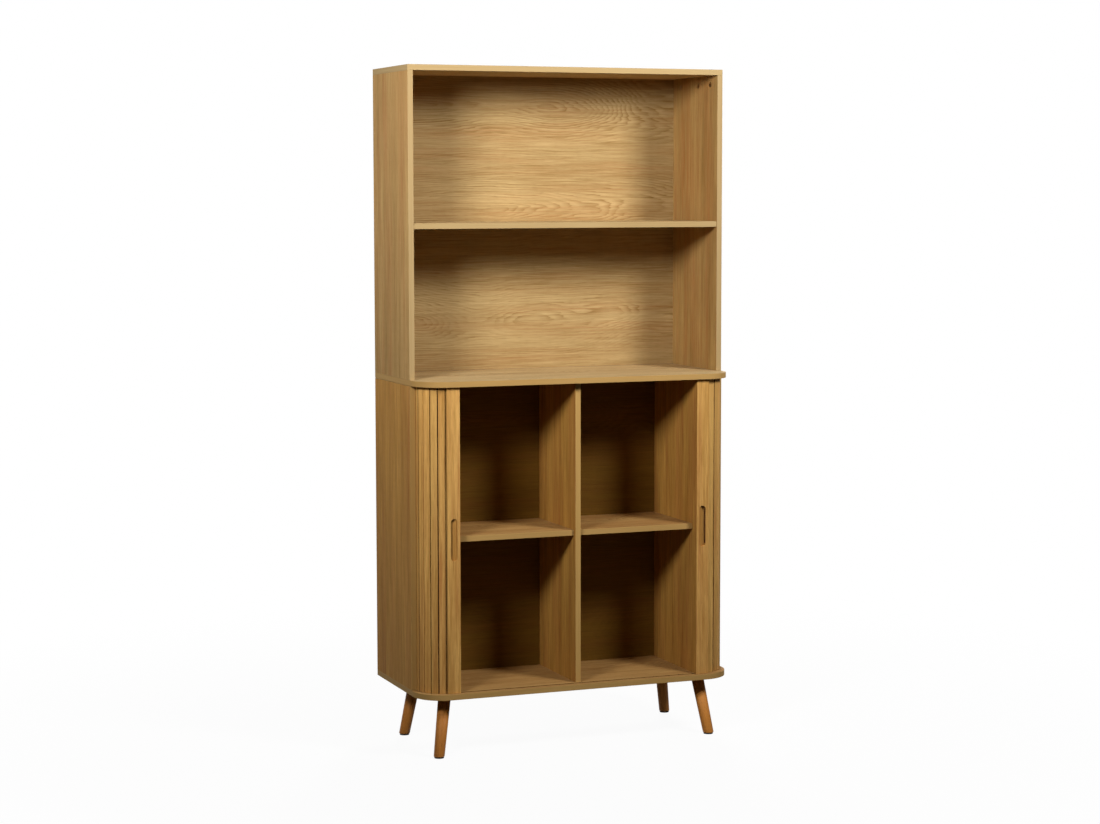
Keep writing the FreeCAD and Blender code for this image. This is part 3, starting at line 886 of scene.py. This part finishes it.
def lead_slat(side):
    shape = new_shape()
    rim_edges = pull_outline(shape)
    draw_stile(shape, rim_edges)
    mill_pull(shape, rim_edges)
    bmesh.ops.recalc_face_normals(shape, faces=shape.faces)
    round_front_edges(shape)
    for face in shape.faces:
        if face.normal.x < -0.8 and face.material_index == 0:
            # The leading edge gets the darker wall oak: painted shade on this face.
            face.material_index = 3
    core = bmesh.ops.create_cube(shape, size=1.0)["verts"]
    tongue = (lead_tenon, tenon.y, slat_length + 2 * tenon.z)
    bmesh.ops.scale(shape, vec=tongue, verts=core)
    track = corner.y - track_radius
    bmesh.ops.translate(shape, verts=core, vec=(pull_centre.x, track, slat_middle))
    lay_grain(shape, shape.verts, AXES["z"], AXES["x"], -lead_low.x + lead_cut)
    if side == "left":
        mirror_to_left(shape)
    node = side + "_lead_slat"
    materials = [slat_oak, raw_core_and_shade, side_oak, shaded_wall_oak]
    return finished("finished_" + node, shape, materials, side + "_door", [node])


for side in ("left", "right"):
    piece = lead_slat(side)
    print(piece.name, len(piece.data.polygons), "faces")


# %% [markdown]
# ## Legs
#
# Each leg is a turned, tapered dowel, tilted outwards both ways and sawn level at the
# top and the foot. It is made the same way: an upright cone, longer than needed, gets
# its grain, is tilted about the middle of its top, and is cut by two level planes.

# %% Legs
leg_top_diameter = 0.034
leg_foot_diameter = 0.029
foot_rounding = 0.0012
leg_steps = 56


def leg(name):
    low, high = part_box("leg_" + name)
    ways = (-1 if "left" in name else 1, -1 if "front" in name else 1)
    top, foot = Vector((0, 0, high.z)), Vector((0, 0, low.z))
    for axis, way in enumerate(ways):
        inner, outer = (high[axis], low[axis]) if way < 0 else (low[axis], high[axis])
        top[axis] = inner + way * leg_top_diameter / 2
        foot[axis] = outer - way * leg_foot_diameter / 2
    length = (top - foot).length
    shape = new_shape()
    slope = (leg_top_diameter - leg_foot_diameter) / 2 / length
    spare = leg_top_diameter
    bmesh.ops.create_cone(
        shape, cap_ends=True, segments=leg_steps,
        radius1=leg_foot_diameter / 2 - slope * spare,
        radius2=leg_top_diameter / 2 + slope * spare, depth=length + 2 * spare)
    lay_grain(shape, shape.verts, AXES["z"], AXES["x"], near_heart)
    tilt = AXES["z"].rotation_difference(top - foot).to_matrix()
    bmesh.ops.rotate(shape, verts=shape.verts, cent=(0, 0, 0), matrix=tilt)
    bmesh.ops.translate(shape, verts=shape.verts, vec=(top + foot) / 2)
    for level, up in ((high.z, 1), (low.z, -1)):
        cut = bmesh.ops.bisect_plane(
            shape, geom=shape.verts[:] + shape.edges[:] + shape.faces[:],
            plane_co=(0, 0, level), plane_no=(0, 0, up), clear_outer=True)["geom_cut"]
        rim = [e for e in cut if isinstance(e, bmesh.types.BMEdge)]
        bmesh.ops.contextual_create(shape, geom=rim)
    bmesh.ops.recalc_face_normals(shape, faces=shape.faces)
    sole = [e for e in shape.edges if all(abs(v.co.z - low.z) < 1e-5 for v in e.verts)]
    round_edges(shape, sole, foot_rounding, 3)
    for face in shape.faces:
        face.smooth = abs(face.normal.z) < 0.6
    node = "leg_" + name
    return finished("finished_" + node, shape, [beech], "carcass", [node])


for name in ("front_left", "front_right", "rear_left", "rear_right"):
    piece = leg(name)
    print(piece.name, len(piece.data.polygons), "faces")


# %% [markdown]
# ## Pieces that stay as the CAD made them
#
# Fittings, the slats in the pockets and the canvas have their real shape already and sit
# mostly out of sight. They keep their meshes and get the finish of the real thing. Their
# materials read the object's own coordinates, because they carry no grain vector.

# %% Finishes for the remaining nodes
carried = {
    "left_pocket_slats": hidden_slat_oak, "right_pocket_slats": hidden_slat_oak,
    "left_curtain_canvas": canvas, "right_curtain_canvas": canvas,
    "cabinet_cams": zinc, "hutch_cams": zinc,
    "cabinet_cam_bolts": steel, "hutch_cam_bolts": steel, "hutch_base_screws": steel,
    "half_shelf_pins": steel, "leg_bolts": steel, "leg_inserts": brass,
    "cabinet_dowels": pale_beech, "hutch_dowels": pale_beech,
    "glide_front_left": felt, "glide_front_right": felt,
    "glide_rear_left": felt, "glide_rear_right": felt,
}
for node, finish in carried.items():
    mesh = frame["nodes"][node].data
    mesh.materials.clear()
    mesh.materials.append(finish)
replaced = {node for o in bpy.data.objects for node in o.get("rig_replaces", [])}
unfinished = sorted(set(frame["nodes"]) - set(carried) - replaced)
print("nodes without a finish:", unfinished)


# %% [markdown]
# ## Floor, background and light
#
# The bookcase stands on a pale floor in front of a white background. Both are white to
# the camera's own rays and to reflections. To the light that bounces about, the floor is
# darker paper and the background is nearly black, so the inside of the lower
# compartments can be as dark as it is in a studio with black flags. Close to the
# bookcase the floor shows a little of its own shading, which keeps the shadow.
#
# Two softboxes a little higher than the bookcase do the rest. The left one stands far to
# the side and lights everything that faces left. The right one is nearly in front. Grids
# hold their light together, so little of it falls on the floor. A third stands behind.

# %% Stage and light
def seen(stuff):
    # 1 for rays that show the surroundings, straight on, in metal or through glass.
    rays = stuff.node("ShaderNodeLightPath", output="Is Camera Ray")
    rays = rays + stuff.node("ShaderNodeLightPath", output="Is Glossy Ray")
    rays = rays + stuff.node("ShaderNodeLightPath", output="Is Transmission Ray")
    return rays.maths("MINIMUM", rays, 1.0)


shading_start = 0.5
shading_reach = 2.4
shadow_share = 0.05
dark_paper = (0.18, 0.18, 0.18, 1)
pale_paper = (0.9, 0.9, 0.9, 1)
pure_white = (1, 1, 1, 1)
floor_reach = 12


def paper_floor():
    paper = Finish("white_paper")
    shown = seen(paper)
    place = paper.node("ShaderNodeTexCoord", output="Object")
    distance = paper.node(
        "ShaderNodeVectorMath", {"operation": "LENGTH"}, [place], "Value")
    shading = paper.node(
        "ShaderNodeMapRange", {"interpolation_type": "SMOOTHSTEP"},
        [distance, shading_start, shading_reach, shadow_share, 0.0])
    colour = paper.mix(shown, dark_paper, pale_paper)
    lit = paper.node("ShaderNodeBsdfDiffuse", None, {"Color": colour})
    white = paper.node("ShaderNodeEmission", None, {"Color": pure_white, "Strength": 1.0})
    surface = paper.node("ShaderNodeMixShader", None, [shown * (1 - shading), lit, white])
    paper.node("ShaderNodeOutputMaterial", None, {"Surface": surface})
    return paper.material


ground = bmesh.new()
bmesh.ops.create_grid(ground, x_segments=1, y_segments=1, size=floor_reach)
floor = finished("floor", ground, [paper_floor()], None)


def soft_lamp(name, place, aim, width, height, power, spread):
    # A softbox behind a grid, which keeps its light within the spread, in degrees.
    light = bpy.data.lights.new(name, "AREA")
    light.shape = "ELLIPSE"
    light.size = width
    light.size_y = height
    light.energy = power
    light.spread = math.radians(spread)
    lamp = bpy.data.objects.new(name, light)
    lamp.location = place
    towards = Vector(aim) - Vector(place)
    lamp.rotation_euler = towards.to_track_quat("-Z", "Y").to_euler()
    bpy.context.scene.collection.objects.link(lamp)


# Each lamp's place and aim, its width and height in metres, its power in watts and the
# spread of its grid in degrees.
soft_lamp("left_lamp", (-2.15, -1.95, 2.2), (-0.3, 0, 1.8), 0.85, 0.65, 25, 90)
soft_lamp("right_lamp", (1.25, -2.1, 2.5), (0, 0, 1.6), 0.70, 0.80, 32, 120)
soft_lamp("rear_lamp", (1.3, 2.7, 2.4), (0, 0.2, 1.0), 1.0, 1.0, 46, 140)

gloom_strength = 0.004
room = Finish("studio", bpy.data.worlds)
backdrop = room.node(
    "ShaderNodeBackground", None, {"Color": pure_white, "Strength": 1.0})
gloom = room.node(
    "ShaderNodeBackground", None, {"Color": pure_white, "Strength": gloom_strength})
surroundings = room.node("ShaderNodeMixShader", None, [seen(room), gloom, backdrop])
room.node("ShaderNodeOutputWorld", None, {"Surface": surroundings})
bpy.context.scene.world = room.material
bpy.context.scene.view_settings.view_transform = "Standard"
print("lamps:", len(bpy.data.lights))
